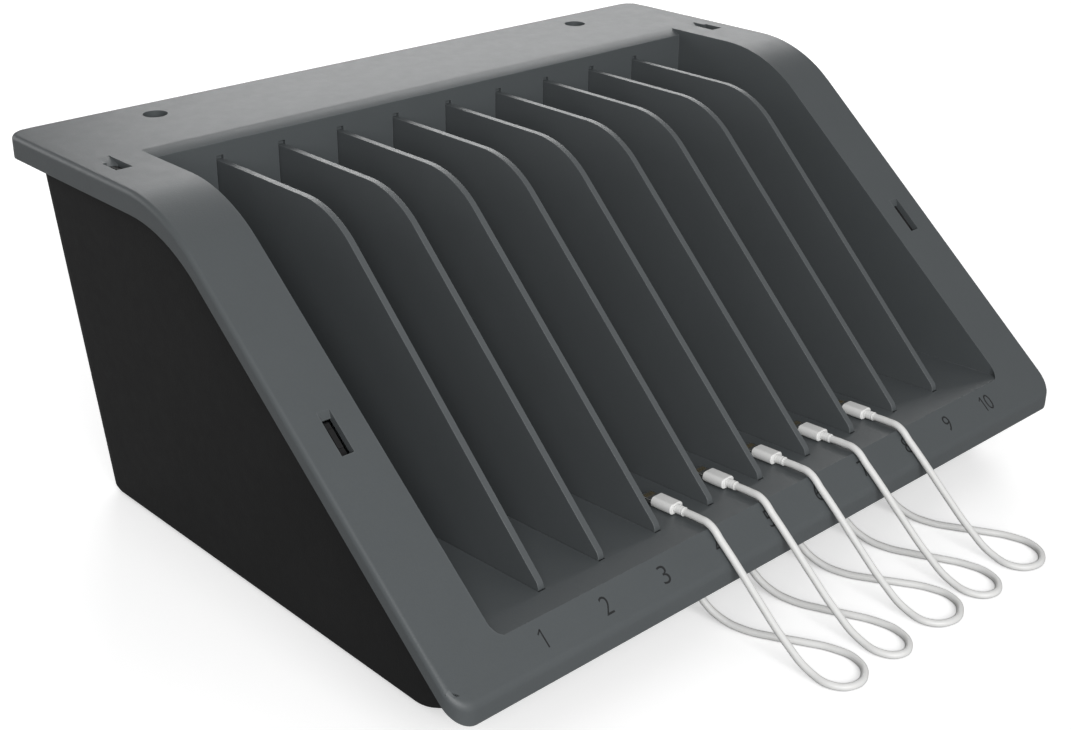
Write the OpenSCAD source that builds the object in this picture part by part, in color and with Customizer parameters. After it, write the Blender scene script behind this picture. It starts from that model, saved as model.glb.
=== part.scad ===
// Desk-top charging station for ten upright tablets or phones.
// A grey deck with a sunk well of ten bays lies over a black tub that holds
// the charger.  X runs across the bays, the lip is at -Y, the ledge at +Y,
// and Z = 0 is the table under the rubber feet.  Sizes are in millimetres.

/* [Deck] */
// Width of the deck over its skirt
deck_w = 382; // [376:1:392]
// Depth of the deck from lip to rear edge
deck_d = 294; // [290:1:300]
// Height of the flat ledge above the table
deck_h = 172; // [168:1:178]
// Angle of the side rails below the bend
rail_angle = 39.6; // [38.8:0.1:40.4]
// Radius of the bend in the side rails
bend_r = 70; // [50:1:80]
// Where the flat part of the rails ends
bend_y = 47.5; // [46:0.5:50]
// Wall of the deck moulding
deck_wall = 3; // [2.4:0.1:3.4]
// Height of the skirt on the flat ledge
skirt_h = 10; // [8:0.5:12]
// Radius of the four outer corners
corner_r = 9; // [7:1:12]

/* [Bays] */
// Number of bays
bay_count = 10; // [10]
// Distance from one bay to the next
bay_pitch = 31.7; // [31:0.1:32]
// Front edge of the bay floor
floor_front = -133.6; // [-135:0.1:-132]
// Fall of the bay floor towards the rear, in degrees
floor_fall = 2.7; // [2:0.1:3.2]
// Rear wall of the well
well_rear = 81; // [79:0.5:82]
// Thickness of the floor and rear wall of the well
well_wall = 4; // [3.6:0.1:4.4]
// Radius of the two front corners of the well
well_corner = 6; // [4:0.5:8]

/* [Dividers] */
// Thickness of a divider plate
divider_t = 3; // [2.6:0.1:3.2]
// Height of the dividers' flat top edge
divider_h = 162; // [158:1:164]
// Angle of a divider's sloping edge
divider_angle = 44; // [43.5:0.1:44.5]
// Radius of the bend in a divider's top edge
divider_bend = 45; // [35:1:50]
// Clearance on each side of a divider in its groove
groove_gap = 0.3; // [0.25:0.05:0.4]
// Depth of the grooves in the floor and rear wall
groove_depth = 1.8; // [1.6:0.1:2]
// Room over a divider's top in its rear groove, so that it can be drawn out at 45 degrees
groove_headroom = 1.8; // [1.8:0.1:2.2]
// Radius of the nose at a divider's front end
nose_r = 5; // [3:0.5:5]

/* [Tub] */
// Wall of the tub
tub_wall = 2.8; // [2.4:0.1:3]
// Half width of the tub at its base
tub_half_w = 172.5; // [171:0.5:174]
// Rear of the tub at its base
tub_rear = 128.5; // [127.5:0.5:129.5]
// Front of the tub at its base
tub_front_low = -115; // [-117:0.5:-113]
// Front of the tub under the lip
tub_front_high = -139.3; // [-140:0.1:-138.5]
// Radius of the tub's upright corners
tub_corner = 12; // [10:1:14]
// Height of the feet under the tub
foot_h = 1.5; // [1.2:0.1:2]

/* [Leads] */
// Diameter of a charging lead
lead_d = 3.2; // [3:0.1:3.4]
// Length of a device plug's moulded body
plug_l = 11; // [10:0.5:12]

/* [Hidden] */

$fn = 64;
far = 400;
sliver = 0.2;
grey = "#595e60";
dark = "#1d1d1e";
white = "#e9e9e6";
first_lead_bay = 4;
last_lead_bay = 8;

// ---- side profile of the deck -------------------------------------------

arc_y = bend_y - bend_r * sin(rail_angle);
arc_z = deck_h - bend_r + bend_r * cos(rail_angle);
well_half = bay_count * bay_pitch / 2 + 2.5;
floor_z0 = rail_z(floor_front);
divider_front = -120.3;
groove_front = divider_front - 0.7;
groove_w = divider_t + 2 * groove_gap;
groove_top = divider_h + groove_headroom;
chamfer_y = 5.5;
chamfer_z = 2.7;
perp_shift = tan(rail_angle / 2);
skirt_ease = 2.4;

function rail_z(y) = arc_z + tan(rail_angle) * (y - arc_y);
function floor_z(y) = floor_z0 - tan(floor_fall) * (y - floor_front);
function bay_x(k) = (k - (bay_count + 1) / 2) * bay_pitch;
function divider_x(i) = (i - bay_count / 2) * bay_pitch;

// Turns a drawing in (depth, height) into a bar of width w across X.
module across(w) {
    rotate([90, 0, 90]) linear_extrude(height = w, center = true) children();
}

// Area below a line that is flat, bends with radius r and then falls at an angle.
module below_bent_line(top, bend, r, angle, front, rear, low) {
    end_y = bend - r * sin(angle);
    end_z = top - r + r * cos(angle);
    front_z = end_z + tan(angle) * (front - end_y);
    corner = bend - r * tan(angle / 2);
    polygon([[front, low], [rear, low], [rear, top], [bend, top], [end_y, end_z], [front, front_z]]);
    intersection() {
        translate([bend, top - r]) circle(r = r, $fn = 128);
        polygon([[end_y, end_z], [bend, top], [corner, top]]);
    }
}

// Area below the deck's top, lowered by drop on the flat and moved by shift.
module below_deck(drop = 0, shift = 0) {
    below_bent_line(deck_h - drop, bend_y + shift, bend_r, rail_angle, -165, 160, -20);
}

// Rounded rectangle of the deck in plan, drawn inside its outer edge by inset.
module deck_plan(inset = 0) {
    w = deck_w - 2 * inset;
    d = deck_d - 2 * inset;
    r = corner_r - inset;
    square([w - 2 * r, d], center = true);
    square([w, d - 2 * r], center = true);
    for (x = [-1, 1], y = [-1, 1]) translate([x * (w / 2 - r), y * (d / 2 - r)]) circle(r = r);
}

module deck_column(inset = 0) {
    translate([0, 0, -20]) linear_extrude(height = 220) deck_plan(inset);
}

// ---- deck ---------------------------------------------------------------

catch_rear_x = 177.1;
catch_rear_y = 79;
catch_front_x = 175;
catch_front_y = -61.3;
catch_w = 5.5;
catch_l = 19;
rear_ramp = 7;
front_ramp = 3;
ramp_drop = 2.2;
screw_x = 129;
screw_y = 128;
recess_r = 5.5;
recess_depth = 8;
screw_head_r = 4;
screw_shank_r = 2;

module at_rear_catches() {
    for (s = [-1, 1]) translate([s * catch_rear_x, catch_rear_y, deck_h]) children();
}

module at_front_catches() {
    for (s = [-1, 1]) {
        translate([s * catch_front_x, catch_front_y, rail_z(catch_front_y)])
            rotate([rail_angle, 0, 0]) children();
    }
}

// Hole that a catch shows in, with a ramp of that length at its upper end.
module catch_slot(ramp) {
    translate([0, -ramp / 2, 0]) cube([catch_w, catch_l - ramp, 12], center = true);
    across(catch_w) polygon([[catch_l / 2 - ramp - 0.1, -ramp_drop], [catch_l / 2, 0],
        [catch_l / 2, 2], [catch_l / 2 - ramp - 0.1, 2]]);
}

// The rear slots are wider at their front end, on the side of the skirt.
module rear_slot_notches() {
    for (s = [-1, 1]) translate([s * (catch_rear_x + catch_w / 2 + 0.9), catch_rear_y - catch_l / 2 + 5.5, deck_h])
        cube([2, 11, 12], center = true);
}

module deck_skin() {
    difference() {
        intersection() {
            deck_column();
            across(far) difference() {
                below_deck();
                below_deck(skirt_h, -skirt_ease);
            }
        }
        intersection() {
            deck_column(deck_wall);
            across(far) below_deck(deck_wall, deck_wall * perp_shift);
        }
    }
}

module well_shell() {
    intersection() {
        across(2 * (well_half + deck_wall)) intersection() {
            below_deck(sliver);
            polygon([[-144, floor_z(-144) - well_wall], [well_rear + well_wall, floor_z(well_rear) - well_wall],
                     [well_rear + well_wall, deck_h], [-144, deck_h]]);
        }
        deck_column(deck_wall);
    }
}

// The opening of the well seen from above, its two front corners rounded.
module well_plan() {
    hull() {
        for (s = [-1, 1]) {
            translate([s * (well_half - well_corner), floor_front - 0.5 + well_corner]) circle(r = well_corner);
            translate([s * (well_half - 1), well_rear + chamfer_y]) square(2, center = true);
        }
    }
}

module well_space() {
    intersection() {
        across(2 * well_half + 2) polygon([[-160, floor_z(-160)], [well_rear, floor_z(well_rear)],
            [well_rear, deck_h - chamfer_z], [well_rear + chamfer_y, deck_h], [well_rear + chamfer_y, deck_h + 20],
            [-160, deck_h + 20]]);
        linear_extrude(deck_h + 30) well_plan();
    }
}

module divider_grooves() {
    for (i = [1 : bay_count - 1]) {
        translate([divider_x(i), 0, 0]) {
            across(groove_w) polygon([[groove_front, floor_z(groove_front) - groove_depth],
                [well_rear + groove_depth, floor_z(well_rear) - groove_depth],
                [well_rear + groove_depth, groove_top], [well_rear - 1, groove_top],
                [well_rear - 1, floor_z(well_rear) + 2], [groove_front, floor_z(groove_front) + 2]]);
        }
    }
}

module screw_recess_cup() {
    translate([0, 0, -recess_depth - 2]) cylinder(r = recess_r + 2, h = recess_depth + 2 - sliver);
}

module deck() {
    color(grey) difference() {
        union() {
            deck_skin();
            well_shell();
            for (s = [-1, 1]) translate([s * screw_x, screw_y, deck_h]) screw_recess_cup();
        }
        well_space();
        divider_grooves();
        at_rear_catches() catch_slot(rear_ramp);
        rear_slot_notches();
        at_front_catches() catch_slot(front_ramp);
        for (s = [-1, 1]) {
            translate([s * screw_x, screw_y, deck_h - recess_depth]) {
                cylinder(r = recess_r, h = 20);
                translate([0, 0, -5]) cylinder(r = screw_shank_r + 0.2, h = 10);
            }
        }
    }
}

// ---- dividers -----------------------------------------------------------

divider_tip = 2.3;
divider_rear = well_rear + groove_depth - 0.4;
divider_foot = groove_depth - 0.3;
divider_corner = divider_front + (divider_h - floor_z(divider_front) - divider_tip) / tan(divider_angle);
divider_bend_y = divider_corner + divider_bend * tan(divider_angle / 2);
nose_turn = 90 - divider_angle;
nose_top = floor_z(divider_front) + divider_tip;
nose_run = nose_r * tan(nose_turn / 2);

// What the round nose leaves off the plate's lower front corner.
module nose_corner() {
    difference() {
        polygon([[divider_front - 1, nose_top + 1], [divider_front - 1, nose_top - nose_run],
                 [divider_front + nose_r, nose_top - nose_run],
                 [divider_front + nose_run * cos(divider_angle), nose_top + nose_run * sin(divider_angle)],
                 [divider_front, nose_top + 1]]);
        translate([divider_front + nose_r, nose_top - nose_run]) circle(r = nose_r);
    }
}

// One lift-out plate: flat along the top, then sloping down to a round nose.
// Its foot is bevelled at the front, so that it clears the groove's end as it is
// drawn out forwards and up.
module divider(i) {
    color(grey) translate([divider_x(i), 0, 0]) across(divider_t) difference() {
        intersection() {
            below_bent_line(divider_h, divider_bend_y, divider_bend, divider_angle, divider_front, divider_rear, 0);
            polygon([[divider_front, floor_z(divider_front)],
                     [divider_front + divider_foot, floor_z(divider_front) - divider_foot],
                     [divider_rear, floor_z(divider_rear) - divider_foot],
                     [divider_rear, deck_h], [divider_front, deck_h]]);
        }
        nose_corner();
    }
}

// ---- tub ----------------------------------------------------------------

draft = atan(11 / 160.5);
tub_edge = 3;
rake_top = 26;
post_l = 14;

function drafted(base, z) = base + (z - foot_h - tub_edge) * tan(draft);

// Solid block of the tub's outer shape, drawn inside it by inset.
module tub_block(inset, floor_up) {
    low = foot_h + floor_up;
    levels = [
        [low, tub_half_w - tub_edge, tub_rear - tub_edge, tub_front_low + 7],
        [low + 0.9, tub_half_w - 0.9, tub_rear - 0.9, tub_front_low + 3],
        [low + tub_edge, tub_half_w, tub_rear, tub_front_low],
        [rake_top, drafted(tub_half_w, rake_top), drafted(tub_rear, rake_top), tub_front_high],
        [deck_h, drafted(tub_half_w, deck_h), drafted(tub_rear, deck_h), tub_front_high]];
    r = tub_corner - inset;
    hull() for (l = levels, s = [-1, 1]) {
        translate([s * (l[1] - tub_corner), l[2] - tub_corner, l[0]]) cylinder(r = r, h = 0.01, $fn = 32);
        translate([s * (l[1] - tub_corner), l[3] + tub_corner, l[0]]) cylinder(r = r, h = 0.01, $fn = 32);
    }
}

// The front wall leans forward over the table between these two heights.
rake_low_z = foot_h + tub_edge;
rake_angle = atan2(rake_top - rake_low_z, tub_front_low - tub_front_high);
outlet_z = 15;
outlet_y = tub_front_low - (outlet_z - rake_low_z) / tan(rake_angle);
grommet_r = 3.5;

// Places a child on the raked front wall with its own +Z pointing out of it.
module on_rake(x) {
    translate([x, outlet_y, outlet_z]) rotate([180 - rake_angle, 0, 0]) children();
}

inlet_x = 148;
inlet_z = 60;
inlet_w = 27.5;
inlet_h = 47.5;

// Places a child on the rear wall: +Z out of it, +Y up.
module on_rear(x, z) {
    translate([x, drafted(tub_rear, z), z]) rotate([-draft, 0, 0]) rotate([90, 0, 180]) children();
}

foot_x = 150;
foot_rear_y = 106;
foot_front_y = -92;
foot_r = 7;

module at_feet() {
    for (x = [-foot_x, foot_x], y = [foot_front_y, foot_rear_y]) translate([x, y, 0]) children();
}

boss_top = deck_h - recess_depth - 2 - sliver;
boss_low = 100;
shelf_x = 121;
shelf_w = 8;
shelf_z = 48;
charger_y0 = 90;
charger_y1 = 121;

module tub_posts() {
    // Catch posts under the four slots of the rails.
    for (s = [-1, 1]) {
        translate([s * (catch_rear_x + 1.9), catch_rear_y, deck_h - 12]) cube([4, post_l, 22], center = true);
        translate([s * (catch_front_x + 0.8), catch_front_y, rail_z(catch_front_y) - 14])
            cube([5, post_l, 30], center = true);
    }
    // Screw bosses on the rear wall.
    for (s = [-1, 1]) translate([s * screw_x, screw_y, boss_low]) cylinder(r = 6, h = boss_top - boss_low);
}

module catch_tongues() {
    at_rear_catches() translate([0, -2.6, -5.6]) cube([2.2, 8, 7], center = true);
    at_front_catches() translate([0, -1.6, -5.6]) cube([2.2, 8, 7], center = true);
}

module tub_shelves() {
    for (s = [-1, 1]) {
        translate([s * shelf_x - shelf_w / 2, charger_y0, foot_h + 1])
            cube([shelf_w, charger_y1 - charger_y0, shelf_z - foot_h - 1]);
    }
}

module tub() {
    color(dark) difference() {
        union() {
            intersection() {
                difference() {
                    tub_block(0, 0);
                    tub_block(tub_wall, 3);
                }
                across(far) below_deck(deck_wall + sliver, deck_wall * perp_shift);
            }
            intersection() {
                tub_block(0.5, 1);
                union() {
                    intersection() {
                        tub_posts();
                        across(far) below_deck(deck_wall + sliver, deck_wall * perp_shift);
                    }
                    tub_shelves();
                }
            }
            catch_tongues();
        }
        for (k = [1 : bay_count]) on_rake(bay_x(k)) cylinder(r = grommet_r, h = 14, center = true);
        on_rear(inlet_x, inlet_z) cube([inlet_w + 0.4, inlet_h + 0.4, 20], center = true);
        on_rear(inlet_x, inlet_z) for (s = [-1, 1])
            translate([0, s * inlet_screw_y, -8]) cylinder(r = 1.3, h = 10);
        for (s = [-1, 1]) translate([s * screw_x, screw_y, boss_top - 14])
            cylinder(r = screw_shank_r + 0.05, h = 20);
        at_feet() translate([0, 0, foot_h - 1]) cylinder(r = foot_r - 2, h = 2);
    }
}

module feet() {
    color("#2a2a2a") at_feet() {
        cylinder(r = foot_r, h = foot_h);
        translate([0, 0, foot_h - 0.5]) cylinder(r = foot_r - 2, h = 1.4);
    }
}

// Two screws hold the deck down on the bosses of the tub.
module deck_screws() {
    color("silver") for (s = [-1, 1]) translate([s * screw_x, screw_y, deck_h - recess_depth]) {
        difference() {
            cylinder(r = screw_head_r, h = 2.6);
            for (a = [0, 90]) rotate([0, 0, a]) translate([0, 0, 2.2]) cube([4.4, 1, 2], center = true);
        }
        translate([0, 0, -12]) cylinder(r = screw_shank_r, h = 12.5);
    }
}

// ---- outlets under the lip ---------------------------------------------

grommet_flange = 1.2;

module grommet() {
    translate([0, 0, 0.05]) cylinder(r = 5, h = grommet_flange);
    translate([0, 0, -tub_wall - 0.6]) cylinder(r = grommet_r - 0.1, h = tub_wall + 1.2);
}

// Grommets with a bore carry the leads, and blind ones close the other outlets.
module outlet_grommets() {
    color("#232323") for (k = [1 : bay_count]) on_rake(bay_x(k)) difference() {
        grommet();
        if (k >= first_lead_bay && k <= last_lead_bay) cylinder(r = lead_d / 2 + 0.1, h = 20, center = true);
    }
}

// ---- swept round leads --------------------------------------------------

sides = 8;

function unit(v) = v / norm(v);
function heading(p, i) = unit(p[min(i + 1, len(p) - 1)] - p[max(i - 1, 0)]);
function ring(c, t, ref, r) =
    let (a = unit(cross(t, ref)), b = cross(a, t))
    [for (j = [0 : sides - 1]) c + r * (cos(360 * j / sides) * a + sin(360 * j / sides) * b)];

// Round tube along the points of a route; ref is a direction the route never takes.
module swept(route, ref, d) {
    n = len(route);
    points = [for (i = [0 : n - 1]) each ring(route[i], heading(route, i), ref, d / 2)];
    walls = [for (i = [0 : n - 2], j = [0 : sides - 1])
        let (low = i * sides, high = low + sides, next = (j + 1) % sides)
        each [[low + j, high + j, high + next], [low + j, high + next, low + next]]];
    ends = [[for (j = [0 : sides - 1]) j], [for (j = [sides - 1 : -1 : 0]) (n - 1) * sides + j]];
    polyhedron(points, concat(walls, ends), convexity = 6);
}

// Route of a free lead from its grommet to its plug, as (side, depth, height).
// It drops to the table, turns back in a flat loop and climbs over the lip.
lead_route = [
    [0, -128.2, 13.5], [0, -133, 8.6], [1.5, -142, 3.6], [4.5, -152.5, 1.8], [9.5, -163, 1.6],
    [15.5, -173.5, 1.6], [20.5, -184, 1.6], [21.5, -194.5, 1.6], [16, -203, 1.6], [7, -205, 1.6],
    [0.5, -199, 1.8], [-1, -189, 3.8], [-1, -176.5, 11], [-0.5, -162, 22.2], [0, -149, 33],
    [0, -141, 39.6], [0, -134, 44.9], [0, -127.5, 45.3], [0, -121, 45]];
// How far each lead's loop swings to the side.
lead_swing = [1, 0.84, 1.1, 0.9, 1.04];

function free_route(k) = [for (p = lead_route)
    [bay_x(k) + p[0] * lead_swing[k - first_lead_bay], p[1], p[2]]];

module lead(k) {
    color(white) swept(free_route(k), [0, 0, 1], lead_d);
}

// Moulded plug that lies in the mouth of the bay.
plug_start = -121;
plug_w = 7.8;
plug_t = 4.6;
relief_l = 5;
tab_w = 6.6;
tab_t = 1.5;
tab_l = 6.8;

module on_bay_floor(k) {
    translate([bay_x(k), plug_start, lead_route[len(lead_route) - 1][2]]) rotate([-floor_fall, 0, 0]) children();
}

module plug(k) {
    color(white) on_bay_floor(k) {
        rotate([-90, 0, 0]) cylinder(r = lead_d / 2 + 0.4, h = relief_l + 0.5);
        translate([0, relief_l, 0]) hull() for (s = [-1, 1])
            translate([s * (plug_w - plug_t) / 2, 0, 0]) rotate([-90, 0, 0]) cylinder(d = plug_t, h = plug_l, $fn = 32);
    }
}

module plug_tab(k) {
    color("silver") on_bay_floor(k) {
        translate([-tab_w / 2, relief_l + plug_l, -tab_t / 2]) cube([tab_w, tab_l, tab_t]);
    }
}

// ---- leads inside the tub ------------------------------------------------

port_pitch = 21;
plug_low = 30;
inner_z = 6.6;
port_y = 106;

function port_x(k) = (k - (bay_count + 1) / 2) * port_pitch;
function inner_route(k) = [
    [bay_x(k), -128.12, 13.59], [bay_x(k), -123.9, 18.36], [bay_x(k), -118.5, 22.2],
    [bay_x(k), -111, 21.6], [bay_x(k), -102, 15], [bay_x(k), -92, 8.6], [bay_x(k), -78, inner_z],
    [bay_x(k), -50, inner_z], [bay_x(k) * 0.5 + port_x(k) * 0.5, 10, inner_z], [port_x(k), 70, inner_z],
    [port_x(k), 90, inner_z + 0.6], [port_x(k), 101, 12], [port_x(k), port_y, 21],
    [port_x(k), port_y, plug_low - 0.05]];

module inner_leads() {
    color(white) for (k = [first_lead_bay : last_lead_bay]) swept(inner_route(k), [1, 0, 0], lead_d);
}

// Plugs of the leads in the charger's ports.
module charge_plugs() {
    color(white) for (k = [first_lead_bay : last_lead_bay]) translate([port_x(k), port_y, plug_low]) {
        translate([-7, -3.8, 0]) cube([14, 7.6, shelf_z - plug_low - 0.6]);
        translate([-5.8, -1, 0]) cube([11.6, 1.6, shelf_z - plug_low + 9]);
    }
}

// Bar on the tub floor that bridges the leads and keeps them apart.
comb_y = -62;

module lead_comb() {
    color(dark) difference() {
        translate([-156, comb_y - 4, foot_h + 3.05]) cube([312, 8, 9]);
        for (k = [1 : bay_count]) translate([bay_x(k), comb_y, inner_z]) rotate([90, 0, 0]) {
            cylinder(r = lead_d / 2 + 0.5, h = 20, center = true);
            translate([-lead_d / 2 - 0.5, -10, -10]) cube([lead_d + 1, 10, 20]);
        }
    }
}

// ---- charger -------------------------------------------------------------

case_half = 125;
case_top = 118;
case_wall = 2;
cover_t = 6;
wire_slot_y = 101.5;
wire_slot_z = 84;

module charger_base() {
    color("#303234") difference() {
        translate([-case_half, charger_y0 + cover_t, shelf_z]) cube([2 * case_half, charger_y1 - charger_y0 - cover_t, case_top - shelf_z]);
        translate([-case_half + case_wall, charger_y0, shelf_z + case_wall])
            cube([2 * (case_half - case_wall), charger_y1 - charger_y0 - case_wall, case_top - shelf_z - 2 * case_wall]);
        for (k = [1 : bay_count]) translate([port_x(k), port_y, shelf_z])
            cube([13.8, 6.6, 10], center = true);
        translate([case_half - 1, wire_slot_y, wire_slot_z]) cube([6, 8.6, 3.2], center = true);
    }
}

module charger_cover() {
    color("#303234") difference() {
        translate([-case_half, charger_y0, shelf_z + sliver]) cube([2 * case_half, cover_t, case_top - shelf_z - sliver]);
        translate([-case_half + case_wall, charger_y0 + case_wall, shelf_z + case_wall])
            cube([2 * (case_half - case_wall), cover_t, case_top - shelf_z - 2 * case_wall]);
        for (x = [-100 : 10 : 100]) translate([x, charger_y0, 100]) cube([4, 10, 18], center = true);
    }
}

board_y = 102;

module charger_board() {
    color("#2f6b3c") translate([-case_half + 4, board_y - 1.6, shelf_z + 4]) cube([2 * case_half - 8, 1.6, 58]);
}

module charge_ports() {
    color("silver") for (k = [1 : bay_count]) translate([port_x(k), port_y, shelf_z + 0.4]) difference() {
        translate([-6.6, -3.2, 0]) cube([13.2, 6.2, 14]);
        translate([-6.1, -2.7, -1]) cube([12.2, 5.2, 13]);
    }
}

module transformer() {
    color("#3a2d22") {
        translate([70, board_y, 76]) cube([34, 14, 30]);
        translate([76, board_y + 14, 80]) cube([22, 2, 22]);
    }
}

module capacitors() {
    color("#25303f") for (x = [34, 50]) translate([x, board_y, 92]) rotate([-90, 0, 0]) cylinder(r = 7, h = 15);
}

module heat_sink() {
    color("silver") translate([-90, board_y, 74]) {
        cube([90, 3, 30]);
        for (i = [0 : 9]) translate([i * 9.6, 2.9, 0]) cube([2, 11, 30]);
    }
}

module charger_screws() {
    color("silver") for (x = [-112, 112], z = [54, 112]) translate([x, charger_y0 - 1.6, z]) rotate([-90, 0, 0]) {
        cylinder(r = 2.6, h = 1.58);
    }
}

// Live, neutral and earth wires from the inlet's tags to the charger.
wire_d = 2;

function wire_route(i) = [
    [inlet_x - 7 + 7 * i, 103.2, 56], [inlet_x - 7 + 7 * i, 98.6, 57.4], [inlet_x - 7 + 6 * i, 96, 63 + 2 * i],
    [inlet_x - 8.5 + 4.5 * i, 96.4 + 0.9 * i, 73 + 2 * i], [135 + 3 * i, 98 + 2 * i, 81 + 1.2 * i],
    [130, wire_slot_y - 2.6 + 2.6 * i, wire_slot_z], [case_half - 2.6, wire_slot_y - 2.6 + 2.6 * i, wire_slot_z]];

module mains_wires() {
    color("#6a4a2c") for (i = [0 : 2]) swept(wire_route(i), [1, 0.9, 0.2], wire_d);
}

// ---- mains inlet with its switch ----------------------------------------

flange_w = 31;
flange_h = 60;
flange_t = 2.4;
socket_y = -9;
rocker_y = 14.5;
rocker_w = 19;
rocker_h = 12.6;
rocker_tilt = 8;
inlet_screw_y = 26.8;

module socket_outline(grow) {
    polygon([[-12 - grow, -8.2 - grow], [12 + grow, -8.2 - grow], [12 + grow, 3 + grow],
             [6.8 + grow, 8.2 + grow], [-6.8 - grow, 8.2 + grow], [-12 - grow, 3 + grow]]);
}

module inlet_body() {
    color(dark) on_rear(inlet_x, inlet_z) difference() {
        union() {
            translate([-flange_w / 2, -flange_h / 2, 0.02]) cube([flange_w, flange_h, flange_t]);
            translate([-inlet_w / 2, -inlet_h / 2, -24]) cube([inlet_w, inlet_h, 24.1]);
        }
        translate([0, socket_y, -16]) linear_extrude(height = 30) socket_outline(0);
        translate([0, rocker_y, -6]) cube([rocker_w + 0.8, rocker_h + 0.8, 24], center = true);
        for (s = [-1, 1]) translate([0, s * inlet_screw_y, -10]) cylinder(r = 1.7, h = 20);
    }
}

// Contact pins in the socket, and the tags behind it that the wires are fixed to.
module inlet_pins() {
    color("silver") on_rear(inlet_x, inlet_z) for (p = [[-7, -2], [0, 2], [7, -2]]) {
        translate([p[0] - 1, socket_y + p[1] - 2, -15.95]) cube([2, 4, 11]);
        translate([p[0] - 3, -8, -28.3]) cube([6, 4, 4.25]);
    }
}

module inlet_screws() {
    color("silver") on_rear(inlet_x, inlet_z) for (s = [-1, 1]) translate([0, s * inlet_screw_y, flange_t + 0.04]) {
        cylinder(r = 2.7, h = 1.2);
        translate([0, 0, -7]) cylinder(r = 1.2, h = 7.5);
    }
}

// Rocker at rest in its off position; it turns about a pin across the inlet.
module power_rocker() {
    color("#8f1d1b") on_rear(inlet_x, inlet_z) translate([0, rocker_y, -4]) rotate([rocker_tilt, 0, 0]) {
        difference() {
            intersection() {
                rotate([0, 90, 0]) cylinder(r = 9, h = rocker_w, center = true);
                translate([-rocker_w / 2, -rocker_h / 2 + 0.7, -4]) cube([rocker_w, rocker_h - 1.4, 20]);
            }
            translate([0, 0, 21]) rotate([0, 90, 0]) cylinder(r = 15, h = far, center = true);
        }
    }
}

// ---- nodes ---------------------------------------------------------------

tub();
deck();
for (i = [1 : 9]) {
    divider(i);
}
deck_screws();
feet();
outlet_grommets();
lead_comb();
inner_leads();
charge_plugs();
charger_base();
charger_cover();
charger_board();
charge_ports();
transformer();
capacitors();
heat_sink();
charger_screws();
mains_wires();
inlet_body();
inlet_pins();
inlet_screws();
power_rocker();
for (k = [4 : 8]) {
    lead(k);
    plug(k);
    plug_tab(k);
}
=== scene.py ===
import math

import bmesh
import bpy
from mathutils import Euler, Matrix, Quaternion, Vector


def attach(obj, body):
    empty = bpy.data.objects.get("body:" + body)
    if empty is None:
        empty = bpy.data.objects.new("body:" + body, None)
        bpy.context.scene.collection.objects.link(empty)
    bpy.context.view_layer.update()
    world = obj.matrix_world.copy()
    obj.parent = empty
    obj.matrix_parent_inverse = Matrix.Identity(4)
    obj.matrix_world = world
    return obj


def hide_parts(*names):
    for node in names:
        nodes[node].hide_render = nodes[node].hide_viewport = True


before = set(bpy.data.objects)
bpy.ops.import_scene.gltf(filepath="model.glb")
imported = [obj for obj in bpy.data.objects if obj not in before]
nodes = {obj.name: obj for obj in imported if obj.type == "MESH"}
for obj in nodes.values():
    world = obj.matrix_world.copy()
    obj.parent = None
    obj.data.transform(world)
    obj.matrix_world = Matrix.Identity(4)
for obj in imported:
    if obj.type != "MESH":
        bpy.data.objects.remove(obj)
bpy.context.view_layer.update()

# ---- Camera ---------------------------------------------------------------
# The camera has a plain lens and is at the front left of the station, above it.
# It looks down over the side rail into the bays.

VIEW_ELEVATION = 25.09
VIEW_AZIMUTH = -43.12
VIEW_ROLL = 0.44

camera_data = bpy.data.cameras.new("camera")
camera_data.lens = 54.6
camera_data.sensor_width = 36.0
camera_data.clip_start = 0.01
camera = bpy.data.objects.new("camera", camera_data)
camera.location = (-0.4811, -0.4946, 0.3766)
camera.rotation_mode = "QUATERNION"
aim = Euler((math.radians(90 - VIEW_ELEVATION), 0, math.radians(VIEW_AZIMUTH))).to_quaternion()
camera.rotation_quaternion = aim @ Quaternion((0, 0, 1), math.radians(VIEW_ROLL))
bpy.context.scene.collection.objects.link(camera)
bpy.context.scene.camera = camera

# ---- Charging leads -------------------------------------------------------
# Five limp white leads, 3.2 mm thick, one for each of bays 4 to 8. Each leaves
# its grommet, drops to the table, turns back and climbs over the lip to its plug.
# The sheath is soft extruded vinyl with a slight orange-peel skin.

STATION = "station"
BAY_PITCH = 0.0317
MIDDLE_OF_BAYS = 5.5
LEAD_DIAMETER = 0.0032
LEAD_ROUTE = [
    (0, -0.1282, 0.0135), (0, -0.133, 0.0086), (0.0015, -0.142, 0.0036),
    (0.0045, -0.1525, 0.0018), (0.0095, -0.163, 0.0017), (0.0155, -0.1735, 0.0017),
    (0.0205, -0.184, 0.0017), (0.0215, -0.1945, 0.0017), (0.016, -0.2027, 0.0017),
    (0.007, -0.2045, 0.0017), (0.0005, -0.1987, 0.00185), (-0.001, -0.189, 0.0038),
    (-0.001, -0.1765, 0.011), (-0.0005, -0.162, 0.0222), (0, -0.149, 0.033),
    (0, -0.141, 0.0396), (0, -0.134, 0.0449), (0, -0.1275, 0.0453), (0, -0.121, 0.045)]
LEAD_SWING = {4: 1.0, 5: 0.84, 6: 1.1, 7: 0.9, 8: 1.04}


def bay_x(k):
    """The middle of a bay across the station."""
    return (k - MIDDLE_OF_BAYS) * BAY_PITCH


def socket(group, name, kind, side, value=None):
    """One named input or output of a node group, with its starting value."""
    made = group.interface.new_socket(name=name, in_out=side, socket_type=kind)
    if value is not None:
        made.default_value = value
    return made


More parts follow.
